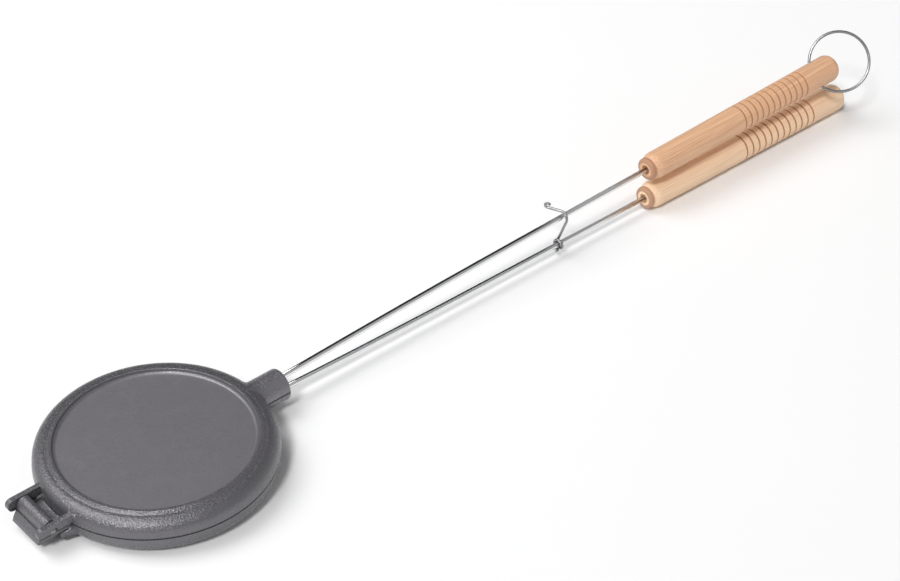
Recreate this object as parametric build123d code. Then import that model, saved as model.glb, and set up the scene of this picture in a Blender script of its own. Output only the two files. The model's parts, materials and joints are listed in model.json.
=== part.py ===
from build123d import *
import math
import os

# Campfire waffle iron: two round cast plates hinged at the rim, each on a long rod with a
# turned wooden handle, a wire hook that holds the rods together and a ring to hang it by.
# All sizes are in millimetres. The pieces are drawn about the head's centre on the parting
# plane, with the hinge at -X, the handles at +X and the upper half above the plane. At the
# end the whole iron is tilted and moved to lie on the ground, as it does by itself.

# Gaps and fits
parting_gap = 0.6
push_fit = 0.02
pin_play = 0.2
wire_play = 0.3

# Cast plates
head_r = 95.0
rim_draft = 0.5
shoulder_r = 10.0
rim_wall = 9.0
cavity_draft = 1.5
cavity_corner_r = 2.5
plate_wall = 4.9
lip_foot_from_rim = 12.0
lip_foot_w = 2.1
lip_w = 2.4
lip_edge_r = 0.5
recess_depth = 3.5
recess_corner_r = 3.0
upper_height = 15.5
lower_height = 17.5
upper_shoulder_z = 3.5
lower_shoulder_z = 6.0
seam_turn_deg = 90.8

# Waffle studs
stud_pitch = 18.0
stud_w = 11.0
stud_top_w = 8.5
stud_below_parting = 2.5
stud_edge_gap = 2.0

# Boss for the rod, one half on each plate
boss_r = 13.6
boss_from_rim = 24.5
boss_blend_r = 4.0
boss_edge_r = 2.4
bore_depth = 25.0

# Hinge, its lengths out from the rim
hinge_from_rim = 12.0
hinge_z = 1.5
hinge_pin_r = 3.0
arm_t = 4.4
arm_gap = 1.1
arm_from_rim = 25.5
arm_top_z = 8.0
arm_bottom_z = -2.0
arm_tip_r = 4.5
hinge_root_in_rim = 11.0
rim_clear = 1.5
hook_half_w = 17.3
hook_t = 3.6
hook_mouth_deg = 62.0
hook_edge_r = 0.8
toe_from_rim = 24.3
toe_top_z = -6.0
toe_bottom_z = -9.0
lug_top_z = -5.0
lug_bottom_z = -11.5
lug_root_half_w = 26.0
lug_from_rim = 6.5
lug_end_half_w = 21.6

# Rods
rod_r = 2.5
rod_boss_z = 6.36
rod_bend_x = 245.0
rod_bend_z = 11.4
rod_bend_r = 7600.0
rod_in_handle = 90.0

# Handles
handle_front_x = 528.0
upper_handle_length = 250.5
lower_handle_length = 265.0
handle_aim_x = 785.0
handle_aim_z = 19.5
handle_front_r = 12.35
handle_taper = 0.0033
nose_r = 10.4
nose_len = 4.4
nose_edge_r = 2.4
neck_w = 1.1
neck_depth = 0.9
neck_edge_r = 0.3
shoulder_len = 7.0
end_edge_r = 8.0
counterbore_r = 4.2
counterbore_depth = 3.0
groove_count = 12
upper_groove_pitch = 7.6
lower_groove_pitch = 8.4
grooves_from_end = 48.2
groove_r = 1.4
groove_depth = 0.8

# Hanging ring
ring_r = 28.3
ring_wire_r = 1.35
ring_from_end = 24.5
ring_hole_tilt_deg = 43.35
ring_lift_deg = 31.0
ring_eye_past_centre = 10.0

# Latch hook
latch_x = 421.0
latch_wire_r = 1.2
coil_play = 0.5
coil_pitch = 3.0
coil_start_deg = -450.0
coil_x = 4.0
tail_end = (-4.2, -3.2, -3.0)
hook_play = 2.4
hook_x = 4.2
finger_start_y = 0.6
finger_drop_x = 0.6
finger_lead = (-0.53, 0.84, 0.12)
finger_len = 12.6
curl_r = 2.1
curl_deg = 240.0

# Places that follow from the sizes
cavity_r = head_r - rim_wall
lip_foot_r = head_r - lip_foot_from_rim
lip_in_r = lip_foot_r - lip_foot_w - lip_w
boss_end_x = head_r + boss_from_rim
hinge_x = -head_r - hinge_from_rim
hinge_root_x = -head_r + hinge_root_in_rim


def rod_slopes():
    """Rise per mm of the upper rod before and after its bend."""
    first = (rod_bend_z - rod_boss_z) / (rod_bend_x - boss_end_x)
    second = (handle_aim_z - rod_bend_z) / (handle_aim_x - rod_bend_x)
    return first, second


def rod_z(x):
    """Height of the upper rod's centre line, straight parts only."""
    first, second = rod_slopes()
    if x < rod_bend_x:
        return rod_bend_z + first * (x - rod_bend_x)
    return rod_bend_z + second * (x - rod_bend_x)


def revolved(edges):
    """Solid of revolution about Z from edges drawn as (radius, height)."""
    face = make_face(Plane.XZ * Curve(edges))
    return revolve(face, axis=Axis.Z)


def plate_blank(height, shoulder_z, side):
    """Solid disc with the rounded shoulder, the raised lip and the sunk top."""
    def at(r, z):
        return (r, side * z)

    rim_top_r = head_r - rim_draft
    centre_r = rim_top_r - shoulder_r
    fall = centre_r - lip_foot_r
    foot_z = shoulder_z + math.sqrt(shoulder_r**2 - fall**2)
    turn = math.radians(45)
    shoulder_mid = at(centre_r + shoulder_r * math.sin(turn), shoulder_z + shoulder_r * math.cos(turn))
    sunk_z = height - recess_depth
    lip = FilletPolyline(
        at(lip_foot_r, foot_z),
        at(lip_in_r + lip_w, height),
        at(lip_in_r, height),
        at(lip_in_r, sunk_z),
        at(0, sunk_z),
        radius=[lip_edge_r, lip_edge_r, recess_corner_r],
    )
    parting = parting_gap / 2
    return Rot(0, 0, seam_turn_deg) * revolved([
        Line(at(0, parting), at(head_r, parting)),
        Line(at(head_r, parting), at(rim_top_r, shoulder_z)),
        ThreePointArc(at(rim_top_r, shoulder_z), shoulder_mid, at(lip_foot_r, foot_z)),
        *lip.edges(),
        Line(at(0, sunk_z), at(0, parting)),
    ])


def cavity(height, side):
    """The space inside one plate, open at the parting plane."""
    floor_z = height - recess_depth - plate_wall
    wall = FilletPolyline(
        (cavity_r, 0),
        (cavity_r - cavity_draft, side * floor_z),
        (0, side * floor_z),
        radius=cavity_corner_r,
    )
    return revolved([Line((0, 0), (cavity_r, 0)), *wall.edges(), Line((0, side * floor_z), (0, 0))])


def studs(height, side):
    """Square tapered studs in rows, as many as fit inside the cavity."""
    floor_z = height - recess_depth - plate_wall
    stud_height = floor_z - stud_below_parting
    reach = cavity_r - cavity_draft - cavity_corner_r - stud_edge_gap
    half_corner = stud_w / math.sqrt(2)
    steps = int(reach / stud_pitch) + 1
    row = [i * stud_pitch for i in range(-steps, steps + 1)]
    places = [(x, y) for x in row for y in row if math.hypot(x, y) + half_corner < reach]
    base = Plane((0, 0, side * (floor_z + plate_wall / 2)), z_dir=(0, 0, -side))
    foot = base * Rectangle(stud_w, stud_w)
    top = base.offset(stud_height + plate_wall / 2) * Rectangle(stud_top_w, stud_top_w)
    stud = loft([foot, top])
    return [Pos(x, y, 0) * stud for x, y in places]


def boss(side):
    """Half of the split round boss that holds a rod, with its outer end rounded."""
    start_x = (lip_in_r + lip_w + lip_foot_r) / 2
    whole = Plane.YZ.offset(start_x) * Circle(boss_r)
    solid = extrude(whole, boss_end_x - start_x)
    end_edge = solid.edges().filter_by(GeomType.CIRCLE).sort_by(Axis.X)[-1]
    solid = fillet(end_edge, boss_edge_r)
    depth = 2 * boss_r
    half = Pos((start_x + boss_end_x) / 2, 0, side * (depth + parting_gap) / 2) * Box(
        boss_end_x, 2 * depth, depth
    )
    return solid & half


def with_boss(blank, side):
    """Joins the boss to the plate and rounds the inner corner between them."""
    joined = blank + boss(side)
    near = parting_gap
    corner = [
        e
        for e in joined.edges()
        if e.center().X > lip_foot_r - 1
        and e.center().X < head_r
        and abs(e.center().Y) < boss_r + near
        and abs(e.center().Y) > near
        and side * e.center().Z > near
    ]
    return fillet(corner, boss_blend_r)


def rod_bore(side):
    """The blind hole in the boss, along the rod's first stretch."""
    first, _ = rod_slopes()
    extra = boss_edge_r
    length = bore_depth + extra
    tilt = -side * math.degrees(math.atan(first))
    end_x = boss_end_x - bore_depth
    hole = Plane.YZ * Circle(rod_r + push_fit)
    return Pos(end_x, 0, side * rod_z(end_x)) * Rot(0, tilt, 0) * extrude(hole, length)


def hinge_arms():
    """The two flat arms of the upper plate that reach past the hinge pin."""
    inner_y = hook_half_w + arm_gap
    over_rim_z = parting_gap / 2
    beyond_rim_x = -head_r - rim_clear
    arm_tip_x = -head_r - arm_from_rim
    outline = FilletPolyline(
        (hinge_root_x, arm_top_z),
        (arm_tip_x, arm_top_z),
        (arm_tip_x, arm_bottom_z),
        (beyond_rim_x, arm_bottom_z),
        radius=[arm_tip_r, arm_tip_r],
    )
    foot = Polyline(
        (beyond_rim_x, arm_bottom_z),
        (beyond_rim_x, over_rim_z),
        (hinge_root_x, over_rim_z),
        (hinge_root_x, arm_top_z),
    )
    plate = Plane.XZ * make_face(Curve([*outline.edges(), *foot.edges()]))
    hole = Plane.XZ * Pos(hinge_x, hinge_z) * Circle(hinge_pin_r + push_fit)
    arm = extrude(plate - hole, arm_t)
    return [Pos(0, -inner_y, 0) * arm, Pos(0, inner_y + arm_t, 0) * arm]


def hinge_hook():
    """The lower plate's hook, which comes out under the pin, round it and back over it."""
    inner = hinge_pin_r + pin_play
    outer = inner + hook_t
    centre = (hinge_x, hinge_z)
    mouth = math.radians(hook_mouth_deg)
    reach = 2 * outer
    toe_x = -head_r - toe_from_rim
    curl = Pos(*centre) * Circle(outer)
    gap = make_face(Polyline(
        centre,
        (hinge_x + reach * math.cos(mouth), hinge_z + reach * math.sin(mouth)),
        (hinge_x + reach, hinge_z + reach),
        (hinge_x + reach, hinge_z - inner),
        (hinge_x, hinge_z - inner),
        centre,
    ))
    root = make_face(Polyline(
        (hinge_x - outer, hinge_z),
        (toe_x + 1, toe_top_z),
        (toe_x, toe_bottom_z),
        (hinge_x - inner, lug_bottom_z),
        (hinge_root_x, lug_bottom_z),
        (hinge_root_x, hinge_z - inner),
        (hinge_x, hinge_z - inner),
        (hinge_x - outer, hinge_z),
    ))
    section = curl - gap + root - Pos(*centre) * Circle(inner)
    return extrude(Plane.XZ * section, hook_half_w, both=True)


def hinge_lug():
    """The wider foot of the hook, seen below the arms."""
    end_x = -head_r - lug_from_rim
    plan = make_face(Polyline(
        (hinge_root_x, -lug_root_half_w),
        (hinge_root_x, lug_root_half_w),
        (end_x, lug_end_half_w),
        (end_x, -lug_end_half_w),
        (hinge_root_x, -lug_root_half_w),
    ))
    block = extrude(Plane.XY.offset(lug_bottom_z) * plan, lug_top_z - lug_bottom_z)
    upright = block.edges().filter_by(Axis.Z).sort_by(Axis.X)[:2]
    return fillet(upright, 2 * hook_edge_r)


def make_upper_plate():
    side = 1
    body = with_boss(plate_blank(upper_height, upper_shoulder_z, side), side)
    for arm in hinge_arms():
        body += arm
    body -= cavity(upper_height, side)
    body += studs(upper_height, side)
    return body - rod_bore(side)


def make_lower_plate():
    side = -1
    body = with_boss(plate_blank(lower_height, lower_shoulder_z, side), side)
    body += (hinge_hook() + hinge_lug()) & rim_outside(side)
    body -= cavity(lower_height, side)
    body += studs(lower_height, side)
    return body - rod_bore(side)


def rim_outside(side):
    """Everything that may stand out past the rim, and what is below the parting plane."""
    span = 2 * head_r
    beyond = Pos(-head_r - rim_clear - span / 2, 0, 0) * Box(span, span, span)
    below = Pos(-head_r, 0, side * (span + parting_gap) / 2) * Box(span, span, span)
    return beyond + below


def make_hinge_pin():
    half = hook_half_w + arm_gap + arm_t
    disc = Plane.XZ * Pos(hinge_x, hinge_z) * Circle(hinge_pin_r)
    return extrude(disc, half, both=True)


def make_rod(side):
    start_x = boss_end_x - bore_depth
    _, second = rod_slopes()
    end_x = handle_front_x + rod_in_handle * math.cos(math.atan(second))
    path = FilletPolyline(
        (start_x, 0, side * rod_z(start_x)),
        (rod_bend_x, 0, side * rod_bend_z),
        (end_x, 0, side * rod_z(end_x)),
        radius=rod_bend_r,
    )
    section = Plane(path @ 0, z_dir=path % 0) * Circle(rod_r)
    return sweep(section, path)


def handle_radius(s):
    """Radius of the plain handle at a distance from its front end."""
    return handle_front_r + handle_taper * s


def handle_place(side):
    """Puts a handle drawn along +X from the origin onto its rod."""
    _, second = rod_slopes()
    tilt = -side * math.degrees(math.atan(second))
    return Pos(handle_front_x, 0, side * rod_z(handle_front_x)) * Rot(0, tilt, 0)


def groove_edge(s):
    """One turned groove in the handle's outline."""
    r = handle_radius(s)
    half = math.sqrt(groove_r**2 - (groove_r - groove_depth) ** 2)
    return ThreePointArc((s - half, r), (s, r - groove_depth), (s + half, r))


def turned_handle(length, pitch):
    """A handle along +X: nose, neck, rounded shoulder, tapered body, grooves and round end."""
    neck = nose_len + neck_w / 2
    shoulder_x = nose_len + neck_w
    body_x = shoulder_x + shoulder_len
    body = (body_x, handle_radius(body_x))
    nose = FilletPolyline(
        (0, 0),
        (0, nose_r),
        (nose_len, nose_r),
        (neck, nose_r - neck_depth),
        (shoulder_x, nose_r),
        radius=[nose_edge_r, neck_edge_r, neck_edge_r],
    )
    edges = [*nose.edges(), TangentArc(body, (shoulder_x, nose_r), tangent=(-1, -handle_taper))]
    last = body
    for i in range(groove_count):
        groove = groove_edge(length - grooves_from_end - (groove_count - 1 - i) * pitch)
        edges += [Line(last, groove @ 0), groove]
        last = groove @ 1
    end = FilletPolyline(
        last,
        (length, handle_radius(length)),
        (length, 0),
        radius=end_edge_r,
    )
    edges += [*end.edges(), Line((length, 0), (0, 0))]
    solid = revolve(make_face(Curve(edges)), axis=Axis.X)
    bore = extrude(Plane.YZ * Circle(rod_r + push_fit), rod_in_handle)
    mouth = extrude(Plane.YZ * Circle(counterbore_r), counterbore_depth)
    return solid - bore - mouth


def ring_sizes():
    """How far the ring's wire bows inside the handle, and the hole that lets it turn."""
    s = upper_handle_length - ring_from_end
    half = handle_radius(s)
    bow = ring_r - math.sqrt(ring_r**2 - half**2)
    hole_r = bow / 2 + ring_wire_r + wire_play
    return s, bow / 2, hole_r


def ring_hole():
    """Frame of the ring's hole: origin on the handle's axis, Z along the hole."""
    s, _, _ = ring_sizes()
    return Pos(s, 0, 0) * Rot(ring_hole_tilt_deg - 90, 0, 0)


def make_upper_handle():
    handle = turned_handle(upper_handle_length, upper_groove_pitch)
    _, _, hole_r = ring_sizes()
    reach = 4 * handle_radius(upper_handle_length)
    return handle_place(1) * (handle - ring_hole() * Cylinder(hole_r, reach))


def make_lower_handle():
    return handle_place(-1) * turned_handle(lower_handle_length, lower_groove_pitch)


def ring_place(past=0.0):
    """Frame at the ring's centre, or past it, with Z square to the ring."""
    s, offset, _ = ring_sizes()
    turned = Rot(ring_hole_tilt_deg, 0, 0) * Rot(0, -ring_lift_deg, 0)
    return handle_place(1) * Pos(s, 0, 0) * turned * Pos(ring_r - offset + past, 0, 0)


def make_ring():
    """The ring, through its hole and lifted about the hole's axis."""
    return ring_place() * Torus(ring_r, ring_wire_r)


def biarc(start, start_dir, end, end_dir):
    """Two arcs that join two points and keep both directions."""
    chord = end - start
    both = start_dir + end_dir
    spread = 2 * (1 - start_dir.dot(end_dir))
    along = chord.dot(both)
    reach = (-along + math.sqrt(along**2 + spread * chord.dot(chord))) / spread
    middle = (start + end + (start_dir - end_dir) * reach) * 0.5
    heading = (end - end_dir * reach) - (start + start_dir * reach)
    return [
        TangentArc(start, middle, tangent=start_dir),
        TangentArc(middle, end, tangent=heading.normalized()),
    ]


def latch_sizes():
    """Radius of the wire's coil, of its hook, the rods' distance and the arm's lean."""
    coil_r = rod_r + coil_play + latch_wire_r
    hook_r = rod_r + hook_play + latch_wire_r
    spacing = 2 * rod_z(latch_x)
    lean = math.asin((coil_r + hook_r) / 2 / (spacing / 2))
    return coil_r, hook_r, spacing, lean


def latch_coil():
    """Points and directions of the coil round the lower rod, at most a quarter turn apart."""
    coil_r, _, _, lean = latch_sizes()
    rise = coil_pitch / (2 * math.pi)
    end_deg = math.degrees(lean)
    steps = math.ceil((end_deg - coil_start_deg) / 90)
    stations = []
    for i in range(steps + 1):
        angle = math.radians(coil_start_deg + (end_deg - coil_start_deg) * i / steps)
        x = coil_x + rise * (angle - lean)
        point = Vector(x, coil_r * math.cos(angle), coil_r * math.sin(angle))
        heading = Vector(rise, -coil_r * math.sin(angle), coil_r * math.cos(angle))
        stations.append((point, heading.normalized()))
    return stations


def latch_place():
    """Frame of the latch: origin on the lower rod's centre line, X along the rod."""
    _, second = rod_slopes()
    tilt = math.degrees(math.atan(second))
    return Pos(latch_x, 0, -rod_z(latch_x)) * Rot(0, tilt, 0)


def make_latch():
    """One wire: tail, coil, arm up to the near side of the upper rod, finger and end curl."""
    _, hook_r, spacing, lean = latch_sizes()
    stations = latch_coil()
    first, first_dir = stations[0]
    last, last_dir = stations[-1]
    arm_dir = Vector(0, -math.sin(lean), math.cos(lean))
    arm_end = Vector(hook_x, -hook_r * math.cos(lean), spacing - hook_r * math.sin(lean))
    finger_dir = Vector(*finger_lead).normalized()
    finger_start = Vector(hook_x - finger_drop_x, finger_start_y, spacing + hook_r)
    finger_end = finger_start + finger_dir * finger_len
    up = Vector(0, 0, 1)
    inward = (up - finger_dir * up.dot(finger_dir)).normalized()

    def on_curl(turn):
        angle = math.radians(turn)
        return finger_end + inward * curl_r * (1 - math.cos(angle)) + finger_dir * curl_r * math.sin(angle)

    edges = biarc(Vector(*tail_end), Vector(1, 0, 0), first, first_dir)
    for (p, p_dir), (q, q_dir) in zip(stations, stations[1:]):
        edges += biarc(p, p_dir, q, q_dir)
    edges += biarc(last, last_dir, arm_end, arm_dir)
    edges += biarc(arm_end, arm_dir, finger_start, finger_dir)
    edges.append(Line(finger_start, finger_end))
    edges.append(ThreePointArc(finger_end, on_curl(curl_deg / 4), on_curl(curl_deg / 2)))
    edges.append(ThreePointArc(on_curl(curl_deg / 2), on_curl(curl_deg * 3 / 4), on_curl(curl_deg)))
    path = Wire(edges)
    section = Plane(path @ 0, z_dir=path % 0) * Circle(latch_wire_r)
    print("latch wire: least gap between its own turns", round(own_gap(path), 2), "mm")
    print("latch wire: least bend radius", round(min(bend_radii(path)), 2), "mm")
    return latch_place() * sweep(section, path)


def bend_radii(path):
    """Radius of each arc of a wire's centre line."""
    return [e.radius for e in path.edges() if e.geom_type == GeomType.CIRCLE]


def own_gap(path):
    """Least gap between stretches of the wire that lie over half a coil turn apart."""
    count = 400
    points = [path @ (i / count) for i in range(count + 1)]
    step = path.length / count
    apart = math.pi * latch_sizes()[0]
    skip = int(apart / step)
    nearest = min(
        (points[i] - points[j]).length
        for i in range(count + 1)
        for j in range(i + skip, count + 1)
    )
    return nearest - 2 * latch_wire_r


def lying_place(pieces):
    """Tilts the iron about the hinge edge of its base ring until the lower handle's end
    touches the ground too, and puts the origin under the middle of its box."""
    handle_end_x = handle_front_x + lower_handle_length
    base = (-lip_in_r - lip_w, -lower_height)
    rest_x = handle_end_x - end_edge_r
    rest = (rest_x, -rod_z(rest_x) - handle_radius(lower_handle_length))
    tilt = math.degrees(math.atan2(base[1] - rest[1], rest[0] - base[0]))
    turned = Rot(0, -tilt, 0)
    box = (turned * Compound(pieces)).bounding_box()
    middle = box.center()
    return Pos(-middle.X, -middle.Y, -box.min.Z) * turned, tilt


def point_text(place, point, x_dir=(0, 0, 1)):
    """A point and a direction of the drawn iron, as they lie on the ground, in metres."""
    frame = place * Location(Plane(point, z_dir=x_dir))
    centre = frame.position / 1000
    heading = Plane(frame).z_dir
    return [[round(c, 6) for c in centre], [round(c, 6) for c in heading]]


nodes = {
    "upper_plate": make_upper_plate(),
    "lower_plate": make_lower_plate(),
    "hinge_pin": make_hinge_pin(),
    "upper_rod": make_rod(1),
    "lower_rod": make_rod(-1),
    "upper_handle": make_upper_handle(),
    "lower_handle": make_lower_handle(),
    "latch_hook": make_latch(),
    "hanging_ring": make_ring(),
}

place, tilt_deg = lying_place(list(nodes.values()))
os.makedirs("parts", exist_ok=True)
for name, piece in nodes.items():
    export_step(place * piece, f"parts/{name}.step")


def frame_text(location):
    """Origin and Z of a frame of the drawn iron, as point_text gives them."""
    frame = Plane(location)
    return point_text(place, frame.origin, frame.z_dir)


print("tilt on the ground", round(tilt_deg, 4), "degrees")
print("head centre", point_text(place, (0, 0, 0)))
print("base", point_text(place, (-lip_in_r - lip_w / 2, 0, -lower_height), (0, 0, -1)))
print("hinge", point_text(place, (hinge_x, 0, hinge_z), (0, -1, 0)))
print("latch", point_text(place, (latch_x, 0, -rod_z(latch_x)), (1, 0, -rod_slopes()[1])))
print("ring", frame_text(handle_place(1) * ring_hole()))
print("ring centre", frame_text(ring_place()))
print("ring eye", frame_text(ring_place(ring_eye_past_centre)))
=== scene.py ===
import json
import math

import bpy
from bpy.props import FloatProperty, FloatVectorProperty, PointerProperty
from bpy.types import Operator, Panel, PropertyGroup
from mathutils import Matrix, Vector


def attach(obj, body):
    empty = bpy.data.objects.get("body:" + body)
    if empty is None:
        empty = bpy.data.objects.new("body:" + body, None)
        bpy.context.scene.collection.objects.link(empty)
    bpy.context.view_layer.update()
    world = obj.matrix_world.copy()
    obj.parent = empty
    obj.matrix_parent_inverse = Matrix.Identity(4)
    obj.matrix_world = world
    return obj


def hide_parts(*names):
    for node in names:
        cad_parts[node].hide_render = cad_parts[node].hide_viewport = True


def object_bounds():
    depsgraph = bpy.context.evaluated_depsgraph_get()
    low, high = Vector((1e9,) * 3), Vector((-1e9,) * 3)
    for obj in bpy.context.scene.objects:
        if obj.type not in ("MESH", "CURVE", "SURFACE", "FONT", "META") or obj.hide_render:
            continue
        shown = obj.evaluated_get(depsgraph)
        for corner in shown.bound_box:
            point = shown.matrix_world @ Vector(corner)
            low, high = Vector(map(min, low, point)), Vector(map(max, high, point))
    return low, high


bl_info = {
    "name": "Campfire waffle iron",
    "version": (1, 0, 0),
    "blender": (4, 5, 0),
    "location": "3D View > Sidebar > Waffle iron",
    "description": "Dresses the pieces of a long-handled campfire waffle iron and its stage",
    "category": "Object",
}

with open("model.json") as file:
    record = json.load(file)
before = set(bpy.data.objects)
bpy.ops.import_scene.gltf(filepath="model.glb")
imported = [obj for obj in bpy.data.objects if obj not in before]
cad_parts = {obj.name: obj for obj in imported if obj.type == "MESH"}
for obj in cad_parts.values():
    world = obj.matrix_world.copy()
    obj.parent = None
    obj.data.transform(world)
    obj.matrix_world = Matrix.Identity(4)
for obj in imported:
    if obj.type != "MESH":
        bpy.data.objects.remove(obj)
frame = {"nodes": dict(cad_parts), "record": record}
cad_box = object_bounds()
mounts = {mount["name"]: mount for mount in frame["record"]["mounts"]}
joints = {joint["name"]: joint for joint in frame["record"]["behaviour"]["joints"]}

# Places on the iron: its base mount, the directions of the head, and the middle of the parting plane
BASE = Vector(mounts["base"]["pos_m"])
BASE_DOWN = Vector(mounts["base"]["axis"])
HEAD_UP = -BASE_DOWN
HEAD_ALONG = Vector((HEAD_UP.z, 0, -HEAD_UP.x))
PARTING_ABOVE_BASE = 0.0175
PARTING_AHEAD_OF_BASE = 0.0797
PARTING = BASE + HEAD_UP * PARTING_ABOVE_BASE + HEAD_ALONG * PARTING_AHEAD_OF_BASE

# Turned handles
GROOVES = 12
TURNED_SIDES = 96
ARC_STEPS = 8
END_STEPS = 14

# Lights, by their directions from the iron
LIGHT_DISTANCE = 4.0
KEY_TOWARD = Vector((-0.36, 0.42, 0.9))
KEY_SIZE = 2.6
NEAR_TOWARD = Vector((-0.57, -0.3, 0.755))
NEAR_ANGLE = math.radians(12)

FLOOR_SIZE = 60.0

# Camera, as the photograph was taken
CAMERA_FROM_BASE = (-0.5276, -1.0336, 1.1120)
CAMERA_HEADING = math.radians(48.22)
CAMERA_DROP = math.radians(37.876)
CAMERA_ROLL = math.radians(0.861)


def colour(name, description, default):
    """A colour that a user would change."""
    return FloatVectorProperty(
        name=name, description=description, default=default, subtype="COLOR", size=3, min=0.0, max=1.0
    )


def length(name, description, default):
    """A size in metres that a user would change."""
    return FloatProperty(
        name=name, description=description, default=default, unit="LENGTH", subtype="DISTANCE", precision=5
    )


def factor(name, description, default):
    """A plain number that a user would change."""
    return FloatProperty(name=name, description=description, default=default, subtype="FACTOR", precision=4)


class CastSettings(PropertyGroup):
    iron: colour("Iron", "Colour of the cast plates", (0.214, 0.207, 0.225))
    # the hollow colour is also painted as shade over the shoulder of the head
    iron_hollow_and_shade: colour("Iron hollows and shade", "Colour in the hollows of the sand-cast skin", (0.088, 0.085, 0.0925))
    sand_grain: length("Sand grain", "Size of the grains that the mould left on the skin", 0.0017)
    # painted shade: the dark line where the gap between the two halves is shaded
    seam: colour("Seam", "Colour along the line where the halves meet", (0.02, 0.019, 0.02))
    seam_width: length("Seam width", "Reach of the dark line on each half", 0.0011)
    skin_depth: length("Skin depth", "Depth of the sand-cast skin", 0.0007)


class SteelSettings(PropertyGroup):
    chrome: colour("Chrome", "Colour of the plated rods", (0.86, 0.865, 0.875))
    wire: colour("Wire", "Colour of the latch and the ring", (0.36, 0.36, 0.37))
    pin: colour("Pin", "Colour of the hinge pin's ends", (0.3, 0.3, 0.31))
    draw_marks: length("Draw marks", "Spacing of the fine marks along drawn wire", 0.0004)
    ring_radius: length("Ring radius", "Radius of the hanging ring at the middle of its wire", 0.0283)
    ring_wire: length("Ring wire", "Radius of the hanging ring's wire", 0.00135)


class WoodSettings(PropertyGroup):
    upper: colour("Upper handle", "Colour of the upper handle's wood", (0.76, 0.462, 0.285))
    upper_streak: colour("Upper streaks", "Colour of the upper handle's darker streaks", (0.54, 0.292, 0.16))
    lower: colour("Lower handle", "Colour of the lower handle's wood", (0.9, 0.655, 0.45))
    lower_streak: colour("Lower streaks", "Colour of the lower handle's darker streaks", (0.78, 0.51, 0.32))
    groove: colour("Grooves", "Colour at the bottom of the turned grooves", (0.36, 0.175, 0.085))
    end_grain: colour("End grain", "Colour of the handles' end grain", (0.42, 0.22, 0.13))
    streak_width: length("Streak width", "Width of the grain's streaks across the handle", 0.0022)
    streak_length: length("Streak length", "Length of the grain's streaks along the handle", 0.07)


class HandleSettings(PropertyGroup):
    upper_length: length("Upper length", "Length of the upper handle", 0.2505)
    lower_length: length("Lower length", "Length of the lower handle", 0.265)
    front_radius: length("Front radius", "Radius of the plain handle at its front", 0.01235)
    taper: factor("Taper", "Growth of the handle's radius for each unit of its length", 0.0033)
    nose_radius: length("Nose radius", "Radius of the stepped nose", 0.0104)
    end_round: length("End rounding", "Radius of the rounded far edge", 0.008)
    upper_pitch: length("Upper groove pitch", "Distance between grooves on the upper handle", 0.0076)
    lower_pitch: length("Lower groove pitch", "Distance between grooves on the lower handle", 0.0084)
    grooves_from_end: length("Grooves from end", "Distance of the last groove from the far end", 0.0482)
    groove_radius: length("Groove radius", "Radius of the turned grooves", 0.0014)
    groove_depth: length("Groove depth", "Depth of the turned grooves", 0.0008)
    latch_to_handle: length("Latch to handle", "From the latch to the lower handle's front", 0.107012)
    ring_from_end: length("Ring from end", "Distance of the ring's hole from the handle's end", 0.0245)
    ring_hole: length("Ring hole", "Radius of the ring's hole", 0.00326)


class StageSettings(PropertyGroup):
    floor: colour("Floor", "Colour of the floor", (0.925, 0.925, 0.925))
    focal: FloatProperty(name="Focal length", description="Lens of the camera", default=84.0, unit="CAMERA")
    surroundings: factor("Surroundings", "Strength of the pale room", 0.42)
    key: FloatProperty(name="Key light", description="Power of the soft light", default=90.0, unit="POWER")
    near: factor("Near light", "Strength of the light beside the camera", 1.55)


class IronSettings(PropertyGroup):
    cast: PointerProperty(name="Cast plates", description="Finish of the cast plates", type=CastSettings)
    steel: PointerProperty(name="Steel", description="Finish of rods, wire and pin", type=SteelSettings)
    handle: PointerProperty(name="Handles", description="Shape of the handles", type=HandleSettings)
    wood: PointerProperty(name="Wood", description="Finish of the handles", type=WoodSettings)
    stage: PointerProperty(name="Stage", description="Floor, lights and camera", type=StageSettings)


def settings():
    """All sizes and colours that a user may change."""
    return bpy.context.scene.waffle_iron


# Shared steps


def select_only(piece):
    """Deselects everything, then selects one object and makes it active."""
    bpy.ops.object.select_all(action="DESELECT")
    piece.select_set(True)
    bpy.context.view_layer.objects.active = piece


def smooth_copy(node, name, edge_deg):
    """A merged, smooth-shaded copy of a CAD node, which it replaces."""
    source = frame["nodes"][node]
    body = next(b for b, members in frame["record"]["behaviour"]["bodies"].items() if node in members)
    select_only(source)
    bpy.ops.object.duplicate()
    piece = bpy.context.active_object
    piece.name = name
    piece.parent = None
    for key in list(piece.keys()):
        del piece[key]
    piece.data.materials.clear()
    bpy.ops.object.mode_set(mode="EDIT")
    bpy.ops.mesh.select_all(action="SELECT")
    bpy.ops.mesh.remove_doubles(threshold=0.000005)
    bpy.ops.object.mode_set(mode="OBJECT")
    bpy.ops.object.shade_smooth_by_angle(angle=math.radians(edge_deg))
    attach(piece, body)
    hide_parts(node)
    return piece


def even_shading(piece):
    """Lets the large faces lead the shading where they meet thin rounded edges."""
    select_only(piece)
    even = piece.modifiers.new("even shading", "WEIGHTED_NORMAL")
    even.keep_sharp = True
    even.weight = 80
    bpy.ops.object.modifier_apply(modifier=even.name)


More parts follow.
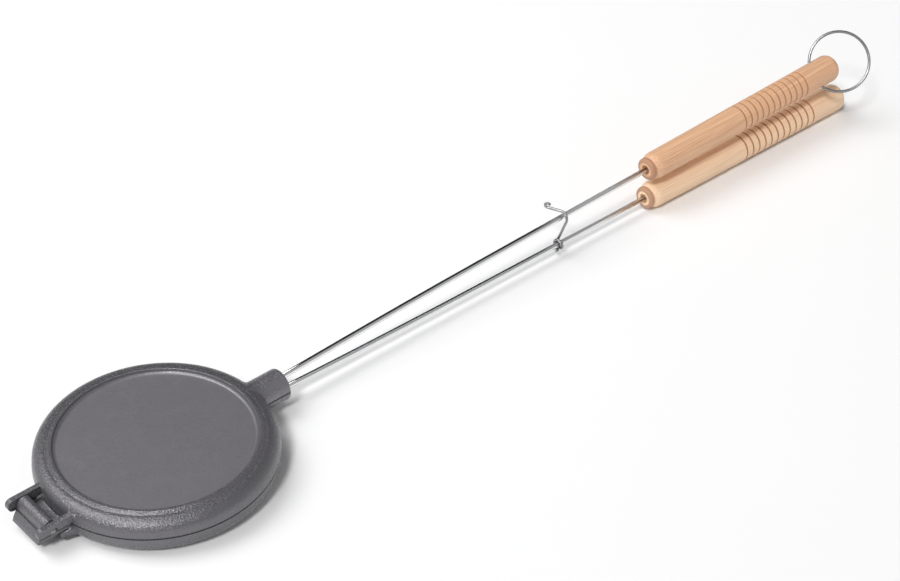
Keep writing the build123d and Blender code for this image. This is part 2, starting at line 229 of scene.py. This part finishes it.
class Finish:
    """A node material, built from a few kinds of node."""

    def __init__(self, name):
        self.material = bpy.data.materials.new(name)
        self.material.use_nodes = True
        self.tree = self.material.node_tree
        self.shader = self.tree.nodes["Principled BSDF"]
        self.place = self.node("ShaderNodeTexCoord").outputs["Object"]

    def node(self, kind, **values):
        """Adds a node and gives it its settings."""
        made = self.tree.nodes.new(kind)
        for key, value in values.items():
            setattr(made, key, value)
        return made

    def join(self, source, target):
        self.tree.links.new(source, target)

    def set(self, **values):
        """Sets the shader's own sockets, underscores standing for spaces."""
        for key, value in values.items():
            self.shader.inputs[key.replace("_", " ")].default_value = value

    def along(self, direction, origin):
        """Distance from a point, measured along a direction."""
        reach = self.node("ShaderNodeVectorMath", operation="DOT_PRODUCT")
        self.join(self.place, reach.inputs[0])
        reach.inputs[1].default_value = direction
        return self.math("SUBTRACT", reach.outputs["Value"], origin.dot(direction))

    def stretched(self, size):
        """Coordinates in which one unit is the given size in metres, along each axis."""
        mapping = self.node("ShaderNodeMapping", vector_type="TEXTURE")
        mapping.inputs["Scale"].default_value = size
        self.join(self.place, mapping.inputs["Vector"])
        return mapping.outputs["Vector"]

    def turned(self, origin, rise):
        """Object coordinates counted from a point, with X along a piece that rises by an angle."""
        mapping = self.node("ShaderNodeMapping", vector_type="TEXTURE")
        mapping.inputs["Location"].default_value = origin
        mapping.inputs["Rotation"].default_value = (0, -rise, 0)
        self.join(self.place, mapping.inputs["Vector"])
        return mapping.outputs["Vector"]

    def noise(self, vector, detail, rough=0.5, distort=0.0):
        """Soft noise over the given coordinates."""
        noise = self.node("ShaderNodeTexNoise")
        noise.inputs["Scale"].default_value = 1.0
        noise.inputs["Detail"].default_value = detail
        noise.inputs["Roughness"].default_value = rough
        noise.inputs["Distortion"].default_value = distort
        self.join(vector, noise.inputs["Vector"])
        return noise.outputs["Fac"]

    def ranged(self, value, low, high, to_low=0.0, to_high=1.0):
        """Carries a value from one range over to another, and holds it at the ends."""
        span = self.node("ShaderNodeMapRange")
        ends = {"From Min": low, "From Max": high, "To Min": to_low, "To Max": to_high}
        for name, number in ends.items():
            span.inputs[name].default_value = number
        self.join(value, span.inputs["Value"])
        return span.outputs["Result"]

    def mixed(self, fac, a, b):
        """Mixes two colours, each a plain colour or a socket, by a socket."""
        mix = self.node("ShaderNodeMix", data_type="RGBA")
        self.join(fac, mix.inputs["Factor"])
        for source, target in ((a, mix.inputs["A"]), (b, mix.inputs["B"])):
            if isinstance(source, bpy.types.NodeSocket):
                self.join(source, target)
            else:
                target.default_value = (*source[:3], 1.0)
        return mix.outputs["Result"]

    def math(self, operation, a, b):
        """Works out one sum of two values, each a plain number or a socket."""
        done = self.node("ShaderNodeMath", operation=operation)
        for source, target in ((a, done.inputs[0]), (b, done.inputs[1])):
            if isinstance(source, bpy.types.NodeSocket):
                self.join(source, target)
            else:
                target.default_value = source
        return done.outputs["Value"]

    def bump(self, height, depth):
        """Raises the surface by a height from 0 to 1, times a depth in metres."""
        bump = self.node("ShaderNodeBump")
        bump.inputs["Strength"].default_value = 1.0
        bump.inputs["Distance"].default_value = depth
        self.join(height, bump.inputs["Height"])
        self.join(bump.outputs["Normal"], self.shader.inputs["Normal"])


# Finishes


def cast_iron():
    """Sand-cast iron: a grainy dark grey skin, smoother on the flat middle, with painted shade on the
    shoulder and a painted shade line along the parting plane.
    """
    look = settings().cast
    grain = look.sand_grain
    f = Finish("sand cast iron")
    sand = f.noise(f.stretched((grain, grain, grain)), detail=3.0, rough=0.6)
    fine = f.noise(f.stretched((grain / 3, grain / 3, grain / 3)), detail=1.0)
    cloud = f.noise(f.stretched((0.012, 0.012, 0.012)), detail=3.0)
    skin = f.math("ADD", f.math("MULTIPLY", sand, 0.75), f.math("MULTIPLY", fine, 0.25))
    base = f.mixed(f.ranged(skin, 0.2, 0.5, 0.6, 1.0), look.iron_hollow_and_shade, look.iron)
    pale = tuple(channel * 1.18 for channel in look.iron)
    base = f.mixed(f.ranged(cloud, 0.4, 0.75, 0.0, 0.35), base, pale)
    reach = f.node("ShaderNodeVectorMath", operation="DISTANCE")
    f.join(f.place, reach.inputs[0])
    reach.inputs[1].default_value = PARTING
    flat_end, skin_start, boss_start, boss_full = 0.077, 0.082, 0.09, 0.1
    edge = f.ranged(reach.outputs["Value"], flat_end, skin_start)
    # painted shade: the shoulder outside the flat middle is mixed towards the hollow colour, much less
    # towards the boss
    darker = f.ranged(f.along(HEAD_ALONG, PARTING), boss_start, boss_full, 0.58, 0.1)
    base = f.mixed(f.math("MULTIPLY", edge, darker), base, look.iron_hollow_and_shade)
    # painted shade: a near-black band on each half beside the parting plane stands in for shade in the gap
    # between the halves
    level = f.along(HEAD_UP, PARTING)
    seam = f.ranged(f.math("ABSOLUTE", level, 0.0), look.seam_width, look.seam_width * 0.45)
    base = f.mixed(f.math("MULTIPLY", seam, 0.85), base, look.seam)
    f.join(base, f.shader.inputs["Base Color"])
    dull = f.math("ADD", f.ranged(skin, 0.35, 0.65, 0.34, 0.21), f.ranged(edge, 0.0, 1.0, 0.17, 0.0))
    f.join(dull, f.shader.inputs["Roughness"])
    f.set(Metallic=0.5, Specular_IOR_Level=1.0)
    f.bump(f.math("MULTIPLY", skin, f.ranged(edge, 0.0, 1.0, 0.22, 1.0)), look.skin_depth)
    return f.material


def chrome():
    """Bright plated rod with faint marks along it."""
    look = settings().steel
    f = Finish("bright plated steel")
    marks = f.noise(f.stretched((0.12, look.draw_marks, look.draw_marks)), detail=2.0)
    f.join(f.ranged(marks, 0.3, 0.7, 0.1, 0.2), f.shader.inputs["Roughness"])
    dim = tuple(channel * 0.93 for channel in look.chrome)
    f.join(f.mixed(f.ranged(marks, 0.35, 0.65), dim, look.chrome), f.shader.inputs["Base Color"])
    f.set(Metallic=1.0)
    f.bump(marks, look.draw_marks * 0.02)
    return f.material


def drawn_wire(name, tone):
    """Dull bright drawn steel with a fine, even grain."""
    look = settings().steel
    f = Finish(name)
    marks = f.noise(f.stretched([look.draw_marks] * 3), detail=3.0)
    spots = f.noise(f.stretched((0.004, 0.004, 0.004)), detail=2.0)
    dim = tuple(channel * 0.75 for channel in tone)
    base = f.mixed(f.ranged(marks, 0.3, 0.7), dim, tone)
    base = f.mixed(f.ranged(spots, 0.5, 0.75, 0.0, 0.5), base, dim)
    f.join(base, f.shader.inputs["Base Color"])
    f.join(f.ranged(marks, 0.3, 0.7, 0.24, 0.4), f.shader.inputs["Roughness"])
    f.set(Metallic=1.0)
    f.bump(marks, look.draw_marks * 0.03)
    return f.material


def turned_wood(name, pale, streak, front, along, total):
    """Straight-grained hardwood with streaks along the handle, short dark flecks and dark end grain."""
    look = settings().wood
    width, run = look.streak_width, look.streak_length
    f = Finish(name)
    rise = math.asin(along[2])
    f.place = f.turned(front, rise)
    broad = f.noise(f.stretched((run * 2, width * 3, width * 3)), detail=2.0, distort=0.6)
    fine = f.noise(f.stretched((run, width * 0.35, width * 0.35)), detail=3.0, rough=0.6)
    fleck = f.noise(f.stretched((0.0035, 0.00035, 0.00035)), detail=1.0)
    light = tuple(min(1.0, channel * 1.1) for channel in pale)
    base = f.mixed(f.ranged(broad, 0.3, 0.7), pale, light)
    base = f.mixed(f.ranged(fine, 0.42, 0.7, 0.0, 0.9), base, streak)
    base = f.mixed(f.ranged(broad, 0.52, 0.75, 0.0, 0.45), base, streak)
    base = f.mixed(f.ranged(fleck, 0.6, 0.72, 0.0, 0.35), base, streak)
    along_it = f.node("ShaderNodeSeparateXYZ")
    f.join(f.place, along_it.inputs["Vector"])
    across = f.node("ShaderNodeCombineXYZ")
    f.join(along_it.outputs["Y"], across.inputs["Y"])
    f.join(along_it.outputs["Z"], across.inputs["Z"])
    out = f.node("ShaderNodeVectorMath", operation="LENGTH")
    f.join(across.outputs["Vector"], out.inputs[0])
    # end grain shows on the nose's face, outside its mouth, and on the round far end
    rim = f.ranged(out.outputs["Value"], 0.0062, 0.0075)
    nose = f.math("MULTIPLY", rim, f.ranged(along_it.outputs["X"], 0.0055, 0.003, 0.0, 0.9))
    end = f.ranged(along_it.outputs["X"], total - 0.006, total - 0.001, 0.0, 0.75)
    base = f.mixed(f.math("MAXIMUM", nose, end), base, look.end_grain)
    f.join(base, f.shader.inputs["Base Color"])
    f.join(f.ranged(fine, 0.3, 0.7, 0.42, 0.55), f.shader.inputs["Roughness"])
    f.set(Specular_IOR_Level=0.4, Coat_Weight=0.08, Coat_Roughness=0.35)
    f.bump(f.math("ADD", fine, f.math("MULTIPLY", fleck, -0.4)), 0.00012)
    return f.material


def groove_wood():
    """Darker brown wood at the bottom of a turned groove."""
    look = settings().wood
    f = Finish("browned groove wood")
    fine = f.noise(f.stretched((0.01, 0.0008, 0.0008)), detail=3.0)
    pale = tuple(min(1.0, channel * 1.6) for channel in look.groove)
    f.join(f.mixed(f.ranged(fine, 0.3, 0.75), look.groove, pale), f.shader.inputs["Base Color"])
    f.set(Roughness=0.6, Specular_IOR_Level=0.3)
    f.bump(fine, 0.0001)
    return f.material


def floor_finish():
    """Plain pale floor, with the faintest mottle."""
    f = Finish("pale floor")
    tone = settings().stage.floor
    mottle = f.noise(f.stretched((0.3, 0.3, 0.3)), detail=2.0)
    dim = tuple(channel * 0.995 for channel in tone)
    f.join(f.mixed(f.ranged(mottle, 0.3, 0.7), dim, tone), f.shader.inputs["Base Color"])
    f.set(Roughness=0.8, Specular_IOR_Level=0.1)
    return f.material


def dress(piece, material):
    """Gives a piece its one finish."""
    piece.data.materials.append(material)


# Pieces


class IRON_OT_cast_plates(Operator):
    """The two sand-cast halves of the head"""

    bl_idname = "waffle_iron.cast_plates"
    bl_label = "Cast plates"

    def execute(self, context):
        skin = cast_iron()
        for half in ("upper", "lower"):
            plate = smooth_copy(half + "_plate", half + "_cast_plate", 24)
            even_shading(plate)
            dress(plate, skin)
        return {"FINISHED"}


class IRON_OT_rods(Operator):
    """The two plated rods"""

    bl_idname = "waffle_iron.rods"
    bl_label = "Rods"

    def execute(self, context):
        plating = chrome()
        for half in ("upper", "lower"):
            dress(smooth_copy(half + "_rod", half + "_plated_rod", 60), plating)
        return {"FINISHED"}


class IRON_OT_handles(Operator):
    """The two turned wooden handles with their grooves"""

    bl_idname = "waffle_iron.handles"
    bl_label = "Handles"

    def execute(self, context):
        look = settings().wood
        size = settings().handle
        deep_brown = groove_wood()
        lower_along = Vector(joints["latch_swing"]["axis"]).normalized()
        lower_front = Vector(joints["latch_swing"]["pos_m"]) + lower_along * size.latch_to_handle
        upper_along = lower_along.reflect(HEAD_UP)
        ring_hole = Vector(joints["ring_swing"]["pos_m"])
        upper_front = ring_hole - upper_along * (size.upper_length - size.ring_from_end)
        upper = turned_handle("upper", upper_front, upper_along, size.upper_length, size.upper_pitch)
        lower = turned_handle("lower", lower_front, lower_along, size.lower_length, size.lower_pitch)
        drill_ring_hole(upper, ring_hole, Vector(joints["ring_swing"]["axis"]))
        upper_wood = turned_wood(
            "upper beech", look.upper, look.upper_streak, upper_front, upper_along, size.upper_length
        )
        lower_wood = turned_wood(
            "lower beech", look.lower, look.lower_streak, lower_front, lower_along, size.lower_length
        )
        for handle, half, wood in ((upper, "upper", upper_wood), (lower, "lower", lower_wood)):
            select_only(handle)
            bpy.ops.object.shade_smooth_by_angle(angle=math.radians(34))
            dress(handle, wood)
            handle.data.materials.append(deep_brown)
            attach(handle, half + "_half")
            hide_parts(half + "_handle")
        return {"FINISHED"}


def plain_radius(s):
    """Radius of the plain handle at a distance from its front."""
    return settings().handle.front_radius + settings().handle.taper * s


def rounding(centre_s, centre_r, radius, start_deg, end_deg, steps):
    """Points of an arc in (distance along, radius), angles counted from along the handle."""
    points = []
    for i in range(steps + 1):
        turn = math.radians(start_deg + (end_deg - start_deg) * i / steps)
        points.append((centre_s + radius * math.cos(turn), centre_r + radius * math.sin(turn)))
    return points


def groove_span():
    """Half the width of a groove at the handle's surface."""
    size = settings().handle
    return math.sqrt(size.groove_radius**2 - (size.groove_radius - size.groove_depth) ** 2)


def groove_places(total, pitch):
    """Distances of the grooves from the front of a handle of the given length."""
    size = settings().handle
    return [total - size.grooves_from_end - i * pitch for i in reversed(range(GROOVES))]


def handle_profile(total, pitch):
    """Outline of a handle: bore, mouth, nose, neck, shoulder, body, grooves and round end."""
    size = settings().handle
    bore, bore_depth, mouth, mouth_depth, mouth_edge = 0.00252, 0.09, 0.0042, 0.003, 0.0003
    nose, nose_round, nose_edge = size.nose_radius, 0.0024, 0.0002
    neck_s, neck_w, neck_depth, shoulder_length = 0.0044, 0.0011, 0.0009, 0.007
    groove_lead = 0.0004
    body_s = neck_s + neck_w + shoulder_length
    points = [(bore_depth, 0), (bore_depth, bore), (mouth_depth, bore), (mouth_depth, mouth)]
    points += [(mouth_edge, mouth), (0, mouth + mouth_edge)]
    points += rounding(nose_round, nose - nose_round, nose_round, 180, 90, ARC_STEPS)
    points += [(neck_s - nose_edge, nose), (neck_s, nose - nose_edge)]
    points += [(neck_s + neck_w / 2, nose - neck_depth), (neck_s + neck_w, nose - nose_edge / 2)]
    rise = plain_radius(body_s) - nose
    for i in range(1, ARC_STEPS + 1):
        t = i / ARC_STEPS
        points.append((neck_s + neck_w + shoulder_length * t, nose + rise * (2 * t - t * t)))
    half = groove_span()
    lift = size.groove_radius - size.groove_depth
    open_deg = math.degrees(math.asin(lift / size.groove_radius))
    for place in groove_places(total, pitch):
        centre = plain_radius(place) + lift
        before, after = place - half - groove_lead, place + half + groove_lead
        points.append((before, plain_radius(before)))
        points += rounding(place, centre, size.groove_radius, 180 + open_deg, 360 - open_deg, ARC_STEPS)
        points.append((after, plain_radius(after)))
    end_r = plain_radius(total)
    points += rounding(total - size.end_round, end_r - size.end_round, size.end_round, 90, 0, END_STEPS)
    points.append((total, 0))
    return points


def turned_handle(half, front, along, total, pitch):
    """Spins the outline round the handle's centre line and marks the grooves' faces."""
    points = handle_profile(total, pitch)
    bpy.ops.object.select_all(action="DESELECT")
    bpy.ops.mesh.primitive_plane_add(size=0.001, location=(0, 0, 0))
    handle = bpy.context.active_object
    handle.name = half + "_turned_handle"
    bpy.ops.object.mode_set(mode="EDIT")
    bpy.ops.mesh.select_all(action="SELECT")
    bpy.ops.mesh.merge(type="CENTER")
    bpy.ops.transform.translate(value=(points[0][0], 0, points[0][1]))
    for (s0, r0), (s1, r1) in zip(points, points[1:]):
        bpy.ops.mesh.extrude_region_move(TRANSFORM_OT_translate={"value": (s1 - s0, 0, r1 - r0)})
    bpy.ops.mesh.select_all(action="SELECT")
    bpy.ops.mesh.spin(steps=TURNED_SIDES, angle=2 * math.pi, center=(0, 0, 0), axis=(1, 0, 0))
    bpy.ops.mesh.select_all(action="SELECT")
    bpy.ops.mesh.remove_doubles(threshold=0.000002)
    bpy.ops.mesh.normals_make_consistent(inside=False)
    bpy.ops.object.mode_set(mode="OBJECT")
    places = groove_places(total, pitch)
    inner = groove_span() * 0.8
    for face in handle.data.polygons:
        if any(abs(face.center.x - place) < inner for place in places):
            face.material_index = 1
    turn = along.to_track_quat("X", "Z").to_matrix().to_4x4()
    handle.matrix_world = Matrix.Translation(front) @ turn
    select_only(handle)
    bpy.ops.object.transform_apply(location=True, rotation=True)
    return handle


def drill_ring_hole(handle, middle, axis):
    """Cuts the slanted hole that the ring passes through."""
    bpy.ops.object.select_all(action="DESELECT")
    bpy.ops.mesh.primitive_cylinder_add(
        vertices=48, radius=settings().handle.ring_hole, depth=0.06, location=middle,
        rotation=axis.to_track_quat("Z", "X").to_euler(),
    )
    drill = bpy.context.active_object
    select_only(handle)
    cut = handle.modifiers.new("ring hole", "BOOLEAN")
    cut.object = drill
    cut.operation = "DIFFERENCE"
    cut.solver = "EXACT"
    bpy.ops.object.modifier_apply(modifier=cut.name)
    bpy.data.objects.remove(drill)


class IRON_OT_latch(Operator):
    """The wire latch hook on the lower rod"""

    bl_idname = "waffle_iron.latch"
    bl_label = "Latch hook"

    def execute(self, context):
        wire = drawn_wire("latch wire", settings().steel.wire)
        dress(smooth_copy("latch_hook", "latch_wire", 75), wire)
        return {"FINISHED"}


class IRON_OT_ring(Operator):
    """The ring that the iron hangs by"""

    bl_idname = "waffle_iron.ring"
    bl_label = "Hanging ring"

    def execute(self, context):
        eye = mounts["hanging_eye"]
        look = settings().steel
        bpy.ops.object.select_all(action="DESELECT")
        bpy.ops.mesh.primitive_torus_add(
            major_segments=160, minor_segments=20,
            major_radius=look.ring_radius, minor_radius=look.ring_wire,
            location=eye["pos_m"], rotation=Vector(eye["axis"]).to_track_quat("Z", "X").to_euler(),
        )
        ring = bpy.context.active_object
        ring.name = "ring_wire"
        bpy.ops.object.transform_apply(location=True, rotation=True)
        bpy.ops.object.shade_smooth()
        dress(ring, drawn_wire("ring wire", look.wire))
        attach(ring, "ring")
        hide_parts("hanging_ring")
        return {"FINISHED"}


class IRON_OT_hinge_pin(Operator):
    """The pin that joins the two halves"""

    bl_idname = "waffle_iron.hinge_pin"
    bl_label = "Hinge pin"

    def execute(self, context):
        steel = drawn_wire("pin steel", settings().steel.pin)
        dress(smooth_copy("hinge_pin", "plain_hinge_pin", 50), steel)
        return {"FINISHED"}


class IRON_OT_stage(Operator):
    """Pale floor, soft lights, world and camera"""

    bl_idname = "waffle_iron.stage"
    bl_label = "Stage"

    def execute(self, context):
        make_floor()
        make_world()
        make_lights()
        make_camera()
        return {"FINISHED"}


def make_floor():
    """A flat pale floor that reaches past all that the camera sees."""
    bpy.ops.object.select_all(action="DESELECT")
    bpy.ops.mesh.primitive_plane_add(size=FLOOR_SIZE, location=(0, 0, cad_box[0].z))
    floor = bpy.context.active_object
    floor.name = "floor"
    bpy.ops.object.transform_apply(location=True)
    floor.data.materials.append(floor_finish())


def make_world():
    """Pale studio surroundings, with a dark panel over the iron's far side."""
    world = bpy.data.worlds.new("studio")
    bpy.context.scene.world = world
    world.use_nodes = True
    tree = world.node_tree
    back = tree.nodes["Background"]
    place = tree.nodes.new("ShaderNodeTexCoord")
    parts = tree.nodes.new("ShaderNodeSeparateXYZ")
    tree.links.new(place.outputs["Generated"], parts.inputs["Vector"])

    def faded(socket, low, high):
        span = tree.nodes.new("ShaderNodeMapRange")
        span.interpolation_type = "SMOOTHSTEP"
        span.inputs["From Min"].default_value = low
        span.inputs["From Max"].default_value = high
        tree.links.new(socket, span.inputs["Value"])
        return span.outputs["Result"]

    # the panel's edges: each fades in from the first place to the second
    dark = faded(parts.outputs["Y"], -0.35, 0.0)
    for socket, low, high in ((parts.outputs["X"], -0.3, 0.1), (parts.outputs["X"], 0.85, 0.72)):
        both = tree.nodes.new("ShaderNodeMath")
        both.operation = "MULTIPLY"
        tree.links.new(dark, both.inputs[0])
        tree.links.new(faded(socket, low, high), both.inputs[1])
        dark = both.outputs["Value"]
    mix = tree.nodes.new("ShaderNodeMix")
    mix.data_type = "RGBA"
    mix.inputs["A"].default_value = (1.0, 1.0, 1.0, 1)
    mix.inputs["B"].default_value = (0.05, 0.05, 0.055, 1)
    tree.links.new(dark, mix.inputs["Factor"])
    tree.links.new(mix.outputs["Result"], back.inputs["Color"])
    back.inputs["Strength"].default_value = settings().stage.surroundings


def add_light(kind, name, toward, power):
    """A light that shines on the middle of the iron from the given direction."""
    middle = (cad_box[0] + cad_box[1]) / 2
    bpy.ops.object.light_add(type=kind, location=middle + toward.normalized() * LIGHT_DISTANCE)
    light = bpy.context.active_object
    light.name = name
    light.data.energy = power
    light.rotation_mode = "QUATERNION"
    light.rotation_quaternion = toward.to_track_quat("Z", "Y")
    return light


def make_lights():
    """A large soft key over the far side and a distant light from the near left."""
    look = settings().stage
    add_light("AREA", "key_softbox", KEY_TOWARD, look.key).data.size = KEY_SIZE
    add_light("SUN", "near_light", NEAR_TOWARD, look.near).data.angle = NEAR_ANGLE


def make_camera():
    """The camera at the photograph's place, set out from the base ring's mount."""
    x, y, z = CAMERA_FROM_BASE
    place = BASE + HEAD_ALONG * x + Vector((0, y, 0)) + HEAD_UP * z
    turn = (
        Matrix.Rotation(CAMERA_HEADING - math.pi / 2, 4, "Z")
        @ Matrix.Rotation(math.pi / 2 - CAMERA_DROP, 4, "X")
        @ Matrix.Rotation(CAMERA_ROLL, 4, "Z")
    )
    bpy.ops.object.camera_add()
    camera = bpy.context.active_object
    camera.name = "photo_camera"
    camera.matrix_world = Matrix.Translation(place) @ turn
    camera.data.sensor_width = 36.0
    camera.data.lens = settings().stage.focal
    camera.data.clip_end = 50.0
    bpy.context.scene.camera = camera


class IRON_PT_pieces(Panel):
    """Lists the iron's pieces and the stage"""

    bl_label = "Waffle iron"
    bl_idname = "IRON_PT_pieces"
    bl_space_type = "VIEW_3D"
    bl_region_type = "UI"
    bl_category = "Waffle iron"

    def draw(self, context):
        for operator in OPERATORS:
            self.layout.operator(operator.bl_idname)
        look = context.scene.waffle_iron
        for group in (look.cast, look.steel, look.handle, look.wood, look.stage):
            box = self.layout.box()
            for key in group.bl_rna.properties.keys():
                if key not in ("rna_type", "name"):
                    box.prop(group, key)


GROUPS = (CastSettings, SteelSettings, WoodSettings, HandleSettings, StageSettings, IronSettings)
OPERATORS = (
    IRON_OT_cast_plates,
    IRON_OT_rods,
    IRON_OT_handles,
    IRON_OT_latch,
    IRON_OT_ring,
    IRON_OT_hinge_pin,
    IRON_OT_stage,
)


def register():
    for made in (*GROUPS, *OPERATORS, IRON_PT_pieces):
        bpy.utils.register_class(made)
    bpy.types.Scene.waffle_iron = PointerProperty(type=IronSettings)


def unregister():
    del bpy.types.Scene.waffle_iron
    for made in reversed((*GROUPS, *OPERATORS, IRON_PT_pieces)):
        bpy.utils.unregister_class(made)


def main():
    register()
    bpy.context.scene.view_settings.view_transform = "Standard"
    for operator in OPERATORS:
        group, name = operator.bl_idname.split(".")
        getattr(getattr(bpy.ops, group), name)()


if __name__ == "__main__":
    main()
